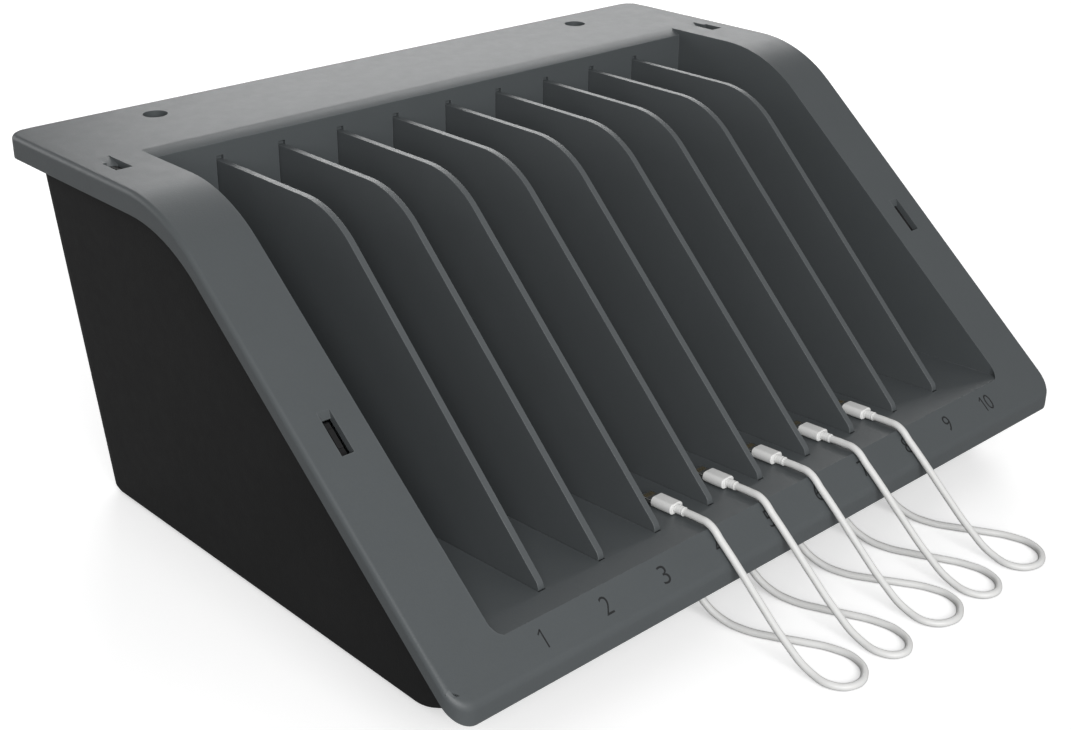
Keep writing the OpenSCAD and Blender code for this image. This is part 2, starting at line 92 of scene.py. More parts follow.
def moulded_skin_group():
    """Skin of a moulded or extruded part: fine grain, drifting tone and patchy sheen."""
    group = bpy.data.node_groups.new("moulded_skin", "ShaderNodeTree")
    socket(group, "Colour", "NodeSocketColor", "INPUT", (0.5, 0.5, 0.5, 1))
    socket(group, "Tone drift", "NodeSocketFloat", "INPUT", 0.12)
    socket(group, "Grain per metre", "NodeSocketFloat", "INPUT", 1800.0)
    socket(group, "Grain height", "NodeSocketFloat", "INPUT", 0.00003)
    socket(group, "Roughness", "NodeSocketFloat", "INPUT", 0.45)
    socket(group, "Sheen drift", "NodeSocketFloat", "INPUT", 0.12)
    socket(group, "Colour", "NodeSocketColor", "OUTPUT")
    socket(group, "Roughness", "NodeSocketFloat", "OUTPUT")
    socket(group, "Normal", "NodeSocketVector", "OUTPUT")
    add, link = group.nodes.new, group.links.new
    given, out = add("NodeGroupInput"), add("NodeGroupOutput")
    place = add("ShaderNodeTexCoord")

    def noise(scale, detail, roughness=0.55):
        node = add("ShaderNodeTexNoise")
        node.inputs["Detail"].default_value = detail
        node.inputs["Roughness"].default_value = roughness
        link(place.outputs["Object"], node.inputs["Vector"])
        if isinstance(scale, (int, float)):
            node.inputs["Scale"].default_value = scale
        else:
            link(scale, node.inputs["Scale"])
        return node.outputs["Fac"]

    def maths(operation, first, second):
        node = add("ShaderNodeMath")
        node.operation = operation
        for slot, value in zip(node.inputs, (first, second)):
            if isinstance(value, (int, float)):
                slot.default_value = value
            else:
                link(value, slot)
        return node.outputs[0]

    grain = noise(given.outputs["Grain per metre"], 2.0)
    cloud = noise(24.0, 3.0)
    patch = noise(140.0, 4.0, 0.65)
    speck = noise(900.0, 1.0)
    fine = maths("MULTIPLY", maths("SUBTRACT", speck, 0.5), 0.5)
    drift = maths("ADD", maths("SUBTRACT", cloud, 0.5), fine)
    lift = maths("ADD", maths("MULTIPLY", drift, given.outputs["Tone drift"]), 1.0)
    tone = add("ShaderNodeVectorMath")
    tone.operation = "SCALE"
    link(given.outputs["Colour"], tone.inputs[0])
    link(lift, tone.inputs["Scale"])
    link(tone.outputs[0], out.inputs["Colour"])
    sheen = maths("MULTIPLY", maths("SUBTRACT", patch, 0.5), given.outputs["Sheen drift"])
    link(maths("ADD", given.outputs["Roughness"], sheen), out.inputs["Roughness"])
    bump = add("ShaderNodeBump")
    bump.inputs["Strength"].default_value = 1.0
    link(given.outputs["Grain height"], bump.inputs["Distance"])
    link(grain, bump.inputs["Height"])
    link(bump.outputs["Normal"], out.inputs["Normal"])
    return group


SKIN = moulded_skin_group()


def skinned(name, colour, roughness, grain=1800.0, height=0.00003, tone=0.12, sheen=0.12,
            settings=None):
    """A material with the moulded skin, and settings put on its shader's own sockets."""
    material = bpy.data.materials.new(name)
    material.use_nodes = True
    tree = material.node_tree
    shader = tree.nodes["Principled BSDF"]
    for setting, value in (settings or {}).items():
        shader.inputs[setting].default_value = value
    skin = tree.nodes.new("ShaderNodeGroup")
    skin.name = "skin"
    skin.node_tree = SKIN
    skin.inputs["Colour"].default_value = (*colour, 1)
    skin.inputs["Roughness"].default_value = roughness
    skin.inputs["Grain per metre"].default_value = grain
    skin.inputs["Grain height"].default_value = height
    skin.inputs["Tone drift"].default_value = tone
    skin.inputs["Sheen drift"].default_value = sheen
    tree.links.new(skin.outputs["Colour"], shader.inputs["Base Color"])
    tree.links.new(skin.outputs["Roughness"], shader.inputs["Roughness"])
    tree.links.new(skin.outputs["Normal"], shader.inputs["Normal"])
    return material


lead_vinyl = skinned(
    "lead_vinyl", (0.72, 0.72, 0.71), 0.42, grain=1400, height=0.00002, tone=0.08,
    settings={"Subsurface Weight": 0.06, "Subsurface Radius": (0.002, 0.0018, 0.0016)})

leads = {}
for k, swing in LEAD_SWING.items():
    curve = bpy.data.curves.new(f"charging_lead_{k}", "CURVE")
    curve.dimensions = "3D"
    curve.bevel_depth = LEAD_DIAMETER / 2
    curve.bevel_resolution = 6
    curve.resolution_u = 10
    curve.use_fill_caps = True
    curve.materials.append(lead_vinyl)
    spline = curve.splines.new("BEZIER")
    spline.bezier_points.add(len(LEAD_ROUTE) - 1)
    for point, (side, depth, height) in zip(spline.bezier_points, LEAD_ROUTE):
        point.co = (bay_x(k) + side * swing, depth, height)
        point.handle_left_type = point.handle_right_type = "AUTO"
    leads[k] = bpy.data.objects.new(f"charging_lead_{k}", curve)
    bpy.context.scene.collection.objects.link(leads[k])
    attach(leads[k], STATION)
    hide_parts(f"lead_{k}")

# ---- Device plugs ---------------------------------------------------------
# A moulded white plug on each lead: a ribbed strain relief, a flat body with
# rounded sides and a plated tab with eight contacts on each face. It lies on
# the floor of its bay, pointing in.

PLUG_START = (-0.121, 0.045)
FLOOR_FALL = math.radians(2.7)
RELIEF_LENGTH = 0.005
RELIEF_ENDS = ((0.0, 0.00168), (0.00055, 0.00172), (0.0055, 0.0018))
RELIEF_RIB = ((0.0006, 0.00195), (0.0012, 0.00195), (0.00125, 0.00172))
RIB_PITCH = 0.0012
PLUG_BODY = (0.0078, 0.011, 0.0046)
PLUG_SIDE_RADIUS = 0.0021
TAB_SIZE = (0.0066, 0.0068, 0.0015)
TAB_CORNER_RADIUS = 0.0012
CONTACT_SIZE = (0.0004, 0.0026, 0.00152)
CONTACT_PITCH = 0.00068
CONTACT_FORWARD = 0.0009

plug_plastic = skinned(
    "plug_plastic", (0.78, 0.78, 0.77), 0.3, grain=2600, height=0.000012, tone=0.05,
    settings={"Coat Weight": 0.15, "Coat Roughness": 0.2})
contact_metal = skinned(
    "contact_metal", (0.78, 0.76, 0.72), 0.24, grain=3200, height=0.00001, tone=0.1,
    settings={"Metallic": 1.0})
contact_gold = skinned(
    "contact_gold", (0.83, 0.62, 0.28), 0.28, grain=3200, height=0.00001, tone=0.12,
    settings={"Metallic": 1.0})


def only(*chosen):
    """Selects these objects and nothing else, the first one active."""
    bpy.ops.object.select_all(action="DESELECT")
    for piece in chosen:
        piece.select_set(True)
    bpy.context.view_layer.objects.active = chosen[0]


def settle(piece, name):
    """Names a piece and moves its place into its mesh."""
    only(piece)
    bpy.ops.object.transform_apply(location=True, rotation=True, scale=True)
    piece.name = piece.data.name = name
    return piece


def pick(piece, mode, wanted):
    """Selects the edges, faces or vertices that wanted() accepts; stays in edit mode."""
    only(piece)
    bpy.ops.object.mode_set(mode="EDIT")
    bpy.ops.mesh.select_mode(type=mode)
    bpy.ops.mesh.select_all(action="DESELECT")
    mesh = bmesh.from_edit_mesh(piece.data)
    for part in {"VERT": mesh.verts, "EDGE": mesh.edges, "FACE": mesh.faces}[mode]:
        part.select_set(bool(wanted(part)))
    mesh.select_flush_mode()
    bmesh.update_edit_mesh(piece.data)


def round_edges(piece, width, segments, angle=35):
    """Rounds every edge sharper than the angle and smooths the shading."""
    only(piece)
    bevel = piece.modifiers.new("round", "BEVEL")
    bevel.width = width
    bevel.segments = segments
    bevel.limit_method = "ANGLE"
    bevel.angle_limit = math.radians(angle)
    bevel.miter_outer = "MITER_ARC"
    bevel.use_clamp_overlap = True
    bpy.ops.object.modifier_apply(modifier="round")
    bpy.ops.object.mode_set(mode="EDIT")
    bpy.ops.mesh.select_all(action="DESELECT")
    bpy.ops.mesh.select_mode(type="FACE")
    bpy.ops.mesh.select_face_by_sides(number=4, type="GREATER")
    bpy.ops.mesh.quads_convert_to_tris(quad_method="BEAUTY", ngon_method="BEAUTY")
    bpy.ops.object.mode_set(mode="OBJECT")
    bpy.ops.object.shade_smooth_by_angle(angle=math.radians(angle))
    even = piece.modifiers.new("even", "WEIGHTED_NORMAL")
    even.keep_sharp = True
    bpy.ops.object.modifier_apply(modifier="even")


def joined(name, *parts):
    """Joins parts into one piece, which keeps each part's material."""
    only(*parts)
    if len(parts) > 1:
        bpy.ops.object.join()
    return settle(parts[0], name)


def own_copy(piece, name, move):
    """A copy with its own mesh, moved in the mesh by a matrix."""
    twin = bpy.data.objects.new(name, piece.data.copy())
    twin.data.name = name
    twin.data.transform(move)
    bpy.context.scene.collection.objects.link(twin)
    return twin


def put_away(*models):
    """Removes the models that copies were made from."""
    for model in models:
        bpy.data.objects.remove(model)


def fix_to(piece, body, slot, *stood_for):
    """The piece moves with a body and stands for CAD nodes. The slot argument is not used."""
    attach(piece, body)
    if stood_for:
        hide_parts(*stood_for)
    return piece


def block(size, location, material):
    """A box of that size at that place, ready to be shaped."""
    bpy.ops.object.select_all(action="DESELECT")
    bpy.ops.mesh.primitive_cube_add(size=1, location=location)
    made = bpy.context.object
    made.scale = size
    bpy.ops.object.transform_apply(location=True, rotation=True, scale=True)
    made.data.materials.append(material)
    return made


def turned(profile, material, sides, direction=(0, 0, 1)):
    """A lathe-turned solid: rings of (height, radius) joined and capped, along direction."""
    bpy.ops.object.select_all(action="DESELECT")
    bpy.ops.mesh.primitive_circle_add(
        vertices=sides, radius=profile[0][1], fill_type="NOTHING")
    made = bpy.context.object
    bpy.ops.object.mode_set(mode="EDIT")
    bpy.ops.mesh.select_all(action="SELECT")
    height, radius = profile[0]
    bpy.ops.transform.translate(value=(0, 0, height))
    bpy.ops.mesh.edge_face_add()
    for next_height, next_radius in profile[1:]:
        rise = (0, 0, next_height - height)
        bpy.ops.mesh.extrude_region_move(TRANSFORM_OT_translate={"value": rise})
        ratio = next_radius / radius
        bpy.ops.transform.resize(value=(ratio, ratio, 1), center_override=(0, 0, next_height))
        height, radius = next_height, next_radius
    bpy.ops.mesh.select_all(action="SELECT")
    bpy.ops.mesh.normals_make_consistent(inside=False)
    bpy.ops.object.mode_set(mode="OBJECT")
    made.rotation_mode = "QUATERNION"
    made.rotation_quaternion = Vector((0, 0, 1)).rotation_difference(Vector(direction))
    bpy.ops.object.transform_apply(location=True, rotation=True, scale=True)
    made.data.materials.append(material)
    return made


def smooth(piece, angle):
    """Smooth shading across every edge blunter than the angle."""
    only(piece)
    bpy.ops.object.shade_smooth_by_angle(angle=math.radians(angle))


def along_depth(edge):
    return abs((edge.verts[0].co - edge.verts[1].co).normalized().y) > 0.99


def tab_front_corner(edge):
    ends = [vert.co for vert in edge.verts]
    return min(end.y for end in ends) > tab_middle and abs(ends[0].x - ends[1].x) < 1e-5


plug_shell = block(PLUG_BODY, (0, RELIEF_LENGTH + PLUG_BODY[1] / 2, 0), plug_plastic)
pick(plug_shell, "EDGE", along_depth)
bpy.ops.mesh.bevel(offset=PLUG_SIDE_RADIUS, segments=7)
bpy.ops.object.mode_set(mode="OBJECT")
round_edges(plug_shell, width=0.00045, segments=3)
relief_profile = list(RELIEF_ENDS[:2])
for step in range(4):
    relief_profile += [(height + step * RIB_PITCH, radius) for height, radius in RELIEF_RIB]
relief_profile.append(RELIEF_ENDS[2])
strain_relief = turned(relief_profile, plug_plastic, sides=32, direction=(0, 1, 0))
smooth(strain_relief, 35)
plug_model = joined("plug_model", plug_shell, strain_relief)

tab_middle = RELIEF_LENGTH + PLUG_BODY[1] + TAB_SIZE[1] / 2
tab_tongue = block(TAB_SIZE, (0, tab_middle, 0), contact_metal)
pick(tab_tongue, "EDGE", tab_front_corner)
bpy.ops.mesh.bevel(offset=TAB_CORNER_RADIUS, segments=5)
bpy.ops.object.mode_set(mode="OBJECT")
round_edges(tab_tongue, width=0.0003, segments=3)
contact_model = block(CONTACT_SIZE, (0, tab_middle + CONTACT_FORWARD, 0), contact_gold)
contacts = [
    own_copy(contact_model, f"contact_{row}", Matrix.Translation(((row - 3.5) * CONTACT_PITCH, 0, 0)))
    for row in range(8)]
put_away(contact_model)
tab_model = joined("tab_model", tab_tongue, *contacts)

for k in LEAD_SWING:
    lie = Matrix.Translation((bay_x(k), *PLUG_START)) @ Matrix.Rotation(-FLOOR_FALL, 4, "X")
    plug = own_copy(plug_model, f"device_plug_{k}", lie)
    fix_to(plug, STATION, "plug_plastic", f"plug_{k}")
    tab = own_copy(tab_model, f"device_tab_{k}", lie)
    fix_to(tab, STATION, "contact_metal", f"plug_tab_{k}")
put_away(plug_model, tab_model)

# ---- Tub ------------------------------------------------------------------
# The black lower casing, one injection moulding with drafted walls, a raked
# front under the lip and a fine spark-eroded texture all over. Its four catches
# stand in the slots of the deck.

EDGE_BAND = 0.0009
FINE_WELD = 0.000002
COARSE_WELD = 0.00003


# The skin's colour made lighter along the outer edges, in broken patches.
def edge_wear_group():
    """Mask of the outer edges, broken up by noise, where the colour is made lighter."""
    group = bpy.data.node_groups.new("lighter_edges", "ShaderNodeTree")
    socket(group, "Width", "NodeSocketFloat", "INPUT", EDGE_BAND)
    socket(group, "Amount", "NodeSocketFloat", "INPUT", 0.5)
    socket(group, "Mask", "NodeSocketFloat", "OUTPUT")
    add, link = group.nodes.new, group.links.new
    given, out = add("NodeGroupInput"), add("NodeGroupOutput")
    flat = add("ShaderNodeNewGeometry")
    soft = add("ShaderNodeBevel")
    soft.samples = 4
    link(given.outputs["Width"], soft.inputs["Radius"])
    match = add("ShaderNodeVectorMath")
    match.operation = "DOT_PRODUCT"
    link(flat.outputs["Normal"], match.inputs[0])
    link(soft.outputs["Normal"], match.inputs[1])
    edge = add("ShaderNodeMapRange")
    edge.inputs["From Min"].default_value = 0.995
    edge.inputs["From Max"].default_value = 0.86
    link(match.outputs["Value"], edge.inputs["Value"])
    place = add("ShaderNodeTexCoord")
    broken = add("ShaderNodeTexNoise")
    broken.inputs["Scale"].default_value = 90.0
    broken.inputs["Detail"].default_value = 4.0
    link(place.outputs["Object"], broken.inputs["Vector"])
    spread = add("ShaderNodeMapRange")
    spread.inputs["From Min"].default_value = 0.35
    spread.inputs["From Max"].default_value = 0.7
    link(broken.outputs["Fac"], spread.inputs["Value"])
    both = add("ShaderNodeMath")
    both.operation = "MULTIPLY"
    link(edge.outputs["Result"], both.inputs[0])
    link(spread.outputs["Result"], both.inputs[1])
    scaled = add("ShaderNodeMath")
    scaled.operation = "MULTIPLY"
    link(both.outputs[0], scaled.inputs[0])
    link(given.outputs["Amount"], scaled.inputs[1])
    link(scaled.outputs[0], out.inputs["Mask"])
    return group


EDGE_LIGHTENING = edge_wear_group()


def blended(tree, kind):
    """A new Mix node's factor, two values and result, for kind Color or Float."""
    node = tree.nodes.new("ShaderNodeMix")
    node.data_type = {"Color": "RGBA", "Float": "FLOAT"}[kind]
    ends = {end.identifier: end for end in (*node.inputs, *node.outputs)}
    return ends["Factor_Float"], ends[f"A_{kind}"], ends[f"B_{kind}"], ends[f"Result_{kind}"]


def add_wear(material, edge_colour, amount):
    """Lightens the skin's colour along the outer edges."""
    tree = material.node_tree
    lightener = tree.nodes.new("ShaderNodeGroup")
    lightener.node_tree = EDGE_LIGHTENING
    lightener.inputs["Amount"].default_value = amount
    factor, skin_end, edge_end, result = blended(tree, "Color")
    tree.links.new(lightener.outputs["Mask"], factor)
    tree.links.new(tree.nodes["skin"].outputs["Colour"], skin_end)
    edge_end.default_value = (*edge_colour, 1)
    tree.links.new(result, tree.nodes["Principled BSDF"].inputs["Base Color"])


tub_plastic = skinned(
    "tub_plastic", (0.0178, 0.0178, 0.0181), 0.55, grain=1300, height=0.00005, tone=0.25,
    sheen=0.16, settings={"Specular IOR Level": 0.1})
# Colour made lighter along the tub's outer edges, in broken patches.
add_wear(tub_plastic, (0.04, 0.04, 0.042), 0.5)


def merged_copy(node, name, weld=FINE_WELD):
    """A copy of a CAD node's mesh with its triangles merged into whole faces."""
    piece = bpy.data.objects.new(name, nodes[node].data.copy())
    piece.data.name = name
    bpy.context.scene.collection.objects.link(piece)
    only(piece)
    bpy.ops.mesh.customdata_custom_splitnormals_clear()
    bpy.ops.object.mode_set(mode="EDIT")
    bpy.ops.mesh.select_all(action="SELECT")
    bpy.ops.mesh.remove_doubles(threshold=weld)
    bpy.ops.mesh.dissolve_limited(angle_limit=math.radians(0.4), delimit=set())
    bpy.ops.object.mode_set(mode="OBJECT")
    return piece


def dress(piece, material):
    """Gives a piece one material in place of what it had."""
    piece.data.materials.clear()
    piece.data.materials.append(material)


tub = merged_copy("tub", "tub_casing", weld=COARSE_WELD)
round_edges(tub, width=0.0005, segments=2, angle=38)
dress(tub, tub_plastic)
fix_to(tub, STATION, "tub_plastic", "tub")

# ---- Rubber feet ----------------------------------------------------------
# Four round feet pressed into sockets of the base, moulded in soft black rubber
# with a rounded rim and a shallow dimple underneath.

FOOT_PLACES = [(x, y) for x in (-0.15, 0.15) for y in (-0.092, 0.106)]
FOOT_PROFILE = [
    (0.0005, 0.0042), (0.0001, 0.0046), (0.0, 0.005), (0.0, 0.0064), (0.00015, 0.0068),
    (0.0004, 0.007), (0.0015, 0.007), (0.0015, 0.005), (0.0024, 0.005)]

foot_rubber = skinned(
    "foot_rubber", (0.02, 0.02, 0.02), 0.8, grain=1600, height=0.00006, tone=0.3)
foot_model = turned(FOOT_PROFILE, foot_rubber, sides=48)
smooth(foot_model, 40)
feet = [
    own_copy(foot_model, f"foot_{number}", Matrix.Translation((x, y, 0)))
    for number, (x, y) in enumerate(FOOT_PLACES)]
put_away(foot_model)
rubber_feet = joined("rubber_feet", *feet)
fix_to(rubber_feet, STATION, "foot_rubber", "feet")

# ---- Outlet grommets ------------------------------------------------------
# Ten soft collars in the raked wall under the lip. Five carry the leads, and
# the other five are blind. Each snaps in from outside and has a domed flange.

OUTLET_CENTRE = (-0.126867, 0.015)
RAKE = math.atan2(0.0215, 0.0243)
OUTWARD = Vector((0, -math.sin(RAKE), -math.cos(RAKE)))

GROMMET_COLLAR = [
    (-0.0034, 0.0032), (-0.0033, 0.0034), (0.00006, 0.0034), (0.00006, 0.0049),
    (0.0003, 0.005), (0.0008, 0.0048), (0.0011, 0.0042), (0.00122, 0.0034)]
BORE = [(0.00118, 0.0024), (0.0009, 0.0019), (0.0006, 0.00168), (-0.0034, 0.00168)]
BLIND_FACE = [(0.00118, 0.0028), (0.00095, 0.0026), (0.00095, 0.0008)]

grommet_rubber = skinned(
    "grommet_rubber", (0.016, 0.016, 0.016), 0.7, grain=2000, height=0.00004, tone=0.3)
bored_grommet = turned(GROMMET_COLLAR + BORE, grommet_rubber, sides=40, direction=OUTWARD)
pick(bored_grommet, "FACE", lambda face: len(face.verts) > 4)
bpy.ops.mesh.delete(type="ONLY_FACE")
bpy.ops.mesh.select_all(action="DESELECT")
bpy.ops.mesh.select_mode(type="EDGE")
bpy.ops.mesh.select_non_manifold()
bpy.ops.mesh.bridge_edge_loops()
bpy.ops.mesh.select_all(action="SELECT")
bpy.ops.mesh.normals_make_consistent(inside=False)
bpy.ops.object.mode_set(mode="OBJECT")
smooth(bored_grommet, 50)
blind_grommet = turned(GROMMET_COLLAR + BLIND_FACE, grommet_rubber, sides=40, direction=OUTWARD)
smooth(blind_grommet, 50)
grommets = []
for k in range(1, 11):
    outlet = Matrix.Translation((bay_x(k), *OUTLET_CENTRE))
    model = bored_grommet if k in LEAD_SWING else blind_grommet
    grommets.append(own_copy(model, f"grommet_{k}", outlet))
put_away(bored_grommet, blind_grommet)
lead_grommets = joined("lead_grommets", *grommets)
fix_to(lead_grommets, STATION, "grommet_rubber", "outlet_grommets")

# ---- Deck -----------------------------------------------------------------
# The grey upper moulding, satin filled plastic: flat ledge, bent rails, sunk
# well and down-turned lip. Its outer rim and the edge of the bay floor have
# generous radii, and every other edge has a small one.

RIM_RADIUS = 0.0022
BRINK_RADIUS = 0.0018
FLOOR_FRONT = -0.1336
FLOOR_HALF_WIDTH = 0.162
SHORTEST_BRINK = 0.05
NEAR_BRINK = 0.0004
DECK_HALF = (0.191, 0.147)
DECK_CORNER = 0.009
NEAR = 0.0003
DECK_TOP = 0.172
BEND = (0.0475, 0.102, 0.070)
RAIL_SLOPE = math.radians(39.6)
ARC_END = (BEND[0] - BEND[2] * math.sin(RAIL_SLOPE), BEND[1] + BEND[2] * math.cos(RAIL_SLOPE))

deck_plastic = skinned(
    "deck_plastic", (0.08, 0.0885, 0.0925), 0.44, grain=1500, height=0.00004, tone=0.12,
    sheen=0.12, settings={"Specular IOR Level": 0.4})
# Colour made lighter along the deck's outer edges, in broken patches.
add_wear(deck_plastic, (0.17, 0.18, 0.185), 0.4)


def deck_surface(y):
    """Height of the rails' top at that depth."""
    if y >= BEND[0]:
        return DECK_TOP
    if y >= ARC_END[0]:
        return BEND[1] + math.sqrt(BEND[2] ** 2 - (BEND[0] - y) ** 2)
    return ARC_END[1] + math.tan(RAIL_SLOPE) * (y - ARC_END[0])


def outer_rim(edge):
    """The sharp top edge all round the deck's outline, corners included."""
    middle = (edge.verts[0].co + edge.verts[1].co) / 2
    past = [abs(middle[axis]) - (DECK_HALF[axis] - DECK_CORNER) for axis in (0, 1)]
    if min(past) > 0:
        inset = DECK_CORNER - math.hypot(*past)
    else:
        inset = DECK_CORNER - max(past)
    below_top = abs(max(vert.co.z - deck_surface(vert.co.y) for vert in edge.verts))
    return inset < NEAR and below_top < NEAR and edge.calc_face_angle(0) > math.radians(30)


def floor_brink(edge):
    """The long front edge of the bay floor, where it turns down to the numbers."""
    at_front = all(
        abs(vert.co.y - FLOOR_FRONT) < NEAR_BRINK and abs(vert.co.x) < FLOOR_HALF_WIDTH
        for vert in edge.verts)
    return at_front and edge.calc_length() > SHORTEST_BRINK


deck = merged_copy("deck", "deck_shell")
for edges, radius, segments in ((outer_rim, RIM_RADIUS, 5), (floor_brink, BRINK_RADIUS, 4)):
    pick(deck, "EDGE", edges)
    bpy.ops.mesh.bevel(offset=radius, segments=segments, clamp_overlap=True)
    bpy.ops.object.mode_set(mode="OBJECT")
round_edges(deck, width=0.00055, segments=2, angle=32)
dress(deck, deck_plastic)
fix_to(deck, STATION, "deck_plastic", "deck")

# ---- Bay numbers ----------------------------------------------------------
# The numbers 1 to 10 on the front panel, one in front of each bay: thin dark strokes
# that lie on the plastic and follow its slope. The numbers are engraved, and the strokes'
# near-black colour is painted shade standing in for the shade inside the grooves.

NUMBER_MIDDLE = -0.1396
NUMBER_SHIFT = -0.0006
NUMBER_HEIGHT = 0.0076
NUMBER_WIDTH = 0.0041
STROKE = 0.00062
SHADE_STRIP_DEPTH = 0.0001
FLAG_LENGTH = 0.0023
LETTER_SIZE = 0.012
LETTER_THINNING = -0.00012

# Painted shade: the near-black colour of the number strokes, in place of the shade in engraved
# grooves.
engraving_shade = skinned(
    "engraving_shade", (0.012, 0.013, 0.014), 0.5, grain=2400, height=0.00001, tone=0.2)


def one_mark():
    """A plain 1 with its flag, the stem's foot at the origin."""
    stem = block((STROKE, NUMBER_HEIGHT, SHADE_STRIP_DEPTH), (0, NUMBER_HEIGHT / 2, 0), engraving_shade)
    flag = block((STROKE * 0.9, FLAG_LENGTH, SHADE_STRIP_DEPTH), (0, 0, 0), engraving_shade)
    flag.rotation_euler = (0, 0, math.radians(-48))
    flag.location = (-0.0008, NUMBER_HEIGHT - 0.00098, 0)
    return joined("one_mark", stem, flag)


def text_mark(figure):
    """A figure in the plain built-in letters, at the size of the bay numbers."""
    bpy.ops.object.select_all(action="DESELECT")
    bpy.ops.object.text_add(location=(0, 0, 0))
    text = bpy.context.object
    text.data.body = figure
    text.data.size = LETTER_SIZE
    text.data.extrude = SHADE_STRIP_DEPTH / 2
    text.data.offset = LETTER_THINNING
    text.data.resolution_u = 6
    bpy.ops.object.convert(target="MESH")
    mark = bpy.context.object
    low = [min(v.co[axis] for v in mark.data.vertices) for axis in (0, 1)]
    high = [max(v.co[axis] for v in mark.data.vertices) for axis in (0, 1)]
    wide, tall = NUMBER_WIDTH / (high[0] - low[0]), NUMBER_HEIGHT / (high[1] - low[1])
    mark.scale = (wide, tall, 1)
    mark.location = (-wide * (low[0] + high[0]) / 2, -tall * low[1], 0)
    mark.data.materials.append(engraving_shade)
    return settle(mark, "mark")


numbers = []
for k in range(1, 11):
    if k == 1:
        digit = one_mark()
    elif k == 10:
        figure_one, figure_nought = one_mark(), text_mark("0")
        figure_one.location.x = -0.0022
        figure_nought.location.x = 0.0017
        digit = joined("ten_mark", settle(figure_one, "one"), settle(figure_nought, "nought"))
    else:
        digit = text_mark(str(k))
    spot = (bay_x(k) + NUMBER_SHIFT, NUMBER_MIDDLE, deck_surface(NUMBER_MIDDLE))
    digit.data.transform(Matrix.Translation(spot) @ Matrix.Rotation(RAIL_SLOPE, 4, "X")
                         @ Matrix.Translation((0, -NUMBER_HEIGHT / 2, 0)))
    numbers.append(digit)
bay_numbers = joined("bay_numbers", *numbers)
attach(bay_numbers, STATION)

# ---- Dividers -------------------------------------------------------------
# Nine plates of the same grey plastic, 3 mm thick, with a rounded top edge and
# nose. Each stands in a groove of the well's floor and rear wall that is closed
# above it, and is drawn out forwards and up.

divider_plastic = skinned(
    "divider_plastic", (0.082, 0.09, 0.094), 0.42, grain=1500, height=0.00004, tone=0.14,
    sheen=0.14)
# Colour made lighter along the plates' outer edges, in broken patches.
add_wear(divider_plastic, (0.16, 0.17, 0.175), 0.5)

plate_model = merged_copy("divider_1", "plate_model")
round_edges(plate_model, width=0.0011, segments=4, angle=32)
dress(plate_model, divider_plastic)
for i in range(1, 10):
    place = Matrix.Translation(((i - 1) * BAY_PITCH, 0, 0))
    plate = own_copy(plate_model, f"divider_plate_{i}", place)
    fix_to(plate, f"divider_{i}_plate", "divider_plastic", f"divider_{i}")
put_away(plate_model)

# ---- Deck screws ----------------------------------------------------------
# Two pan-head screws of zinc-plated steel, sunk in the round recesses of the
# ledge. They hold the rear of the deck down on the tub.

zinc = skinned(
    "zinc_plate", (0.55, 0.56, 0.58), 0.32, grain=1800, height=0.00002, tone=0.2, sheen=0.25,
    settings={"Metallic": 1.0})


def rounded_node(node, name, width, segments, material, slot, weld=FINE_WELD, body=STATION):
    """A bevelled copy of a CAD node that stands for it."""
    piece = merged_copy(node, name, weld)
    round_edges(piece, width, segments)
    dress(piece, material)
    return fix_to(piece, body, slot, node)


rounded_node("deck_screws", "ledge_screws", 0.00035, 3, zinc, "steel")

# ---- Mains inlet and switch -----------------------------------------------
# A black moulded inlet with its socket, three plated pins and a red rocker
# switch above it, held by two screws to the drafted rear wall.

inlet_black = skinned(
    "inlet_black", (0.012, 0.012, 0.012), 0.3, grain=2200, height=0.00002, tone=0.2)
# Colour made lighter along the inlet's outer edges, in broken patches.
add_wear(inlet_black, (0.045, 0.045, 0.045), 0.4)
rounded_node("inlet_body", "inlet_housing", 0.0005, 3, inlet_black, "inlet_plastic", weld=COARSE_WELD)
rounded_node("inlet_pins", "inlet_blades", 0.0003, 2, contact_metal, "contact_metal")

# The two fixing screws, with a cross cut into each head.
REAR_DRAFT = math.atan2(11, 160.5)
REAR_UP = Vector((0, math.sin(REAR_DRAFT), math.cos(REAR_DRAFT)))
REAR_OUT = Vector((0, math.cos(REAR_DRAFT), -math.sin(REAR_DRAFT)))
INLET_MIDDLE = Vector((0.148, 0.1285 + 0.0555 * math.tan(REAR_DRAFT), 0.06))
SCREW_ABOVE_MIDDLE = 0.0268
CROSS_ABOVE_WALL = 0.0037
CROSS_BARS = ((0.0034, 0.0007, 0.0014), (0.0007, 0.0034, 0.0014))

fixings = merged_copy("inlet_screws", "inlet_fixings")
cross = joined("cross", *[block(size, (0, 0, 0), zinc) for size in CROSS_BARS])
lean = Matrix.Rotation(-math.pi / 2 - REAR_DRAFT, 4, "X")
crosses = []
for side in (-1, 1):
    head = INLET_MIDDLE + REAR_UP * SCREW_ABOVE_MIDDLE * side + REAR_OUT * CROSS_ABOVE_WALL
    crosses.append(own_copy(cross, f"cross_{side}", Matrix.Translation(head) @ lean))
cross_cutter = joined("cross_cutter", *crosses)
only(fixings)
cut = fixings.modifiers.new("cut", "BOOLEAN")
cut.object = cross_cutter
cut.operation = "DIFFERENCE"
cut.solver = "EXACT"
cut.use_self = True
bpy.ops.object.modifier_apply(modifier="cut")
put_away(cross, cross_cutter)
round_edges(fixings, width=0.00025, segments=3)
dress(fixings, zinc)
fix_to(fixings, STATION, "steel", "inlet_screws")

rocker_red = skinned(
    "rocker_red", (0.32, 0.012, 0.01), 0.28, grain=2200, height=0.000015, tone=0.1,
    settings={"Coat Weight": 0.3})
rounded_node("power_rocker", "rocker_key", 0.0004, 3, rocker_red, "rocker_plastic", body="rocker")

# ---- Charger and its wiring -----------------------------------------------
# Inside the tub: the charger in its two-part case, its board with ports and
# parts, the wires from the inlet and the inner runs of the leads.

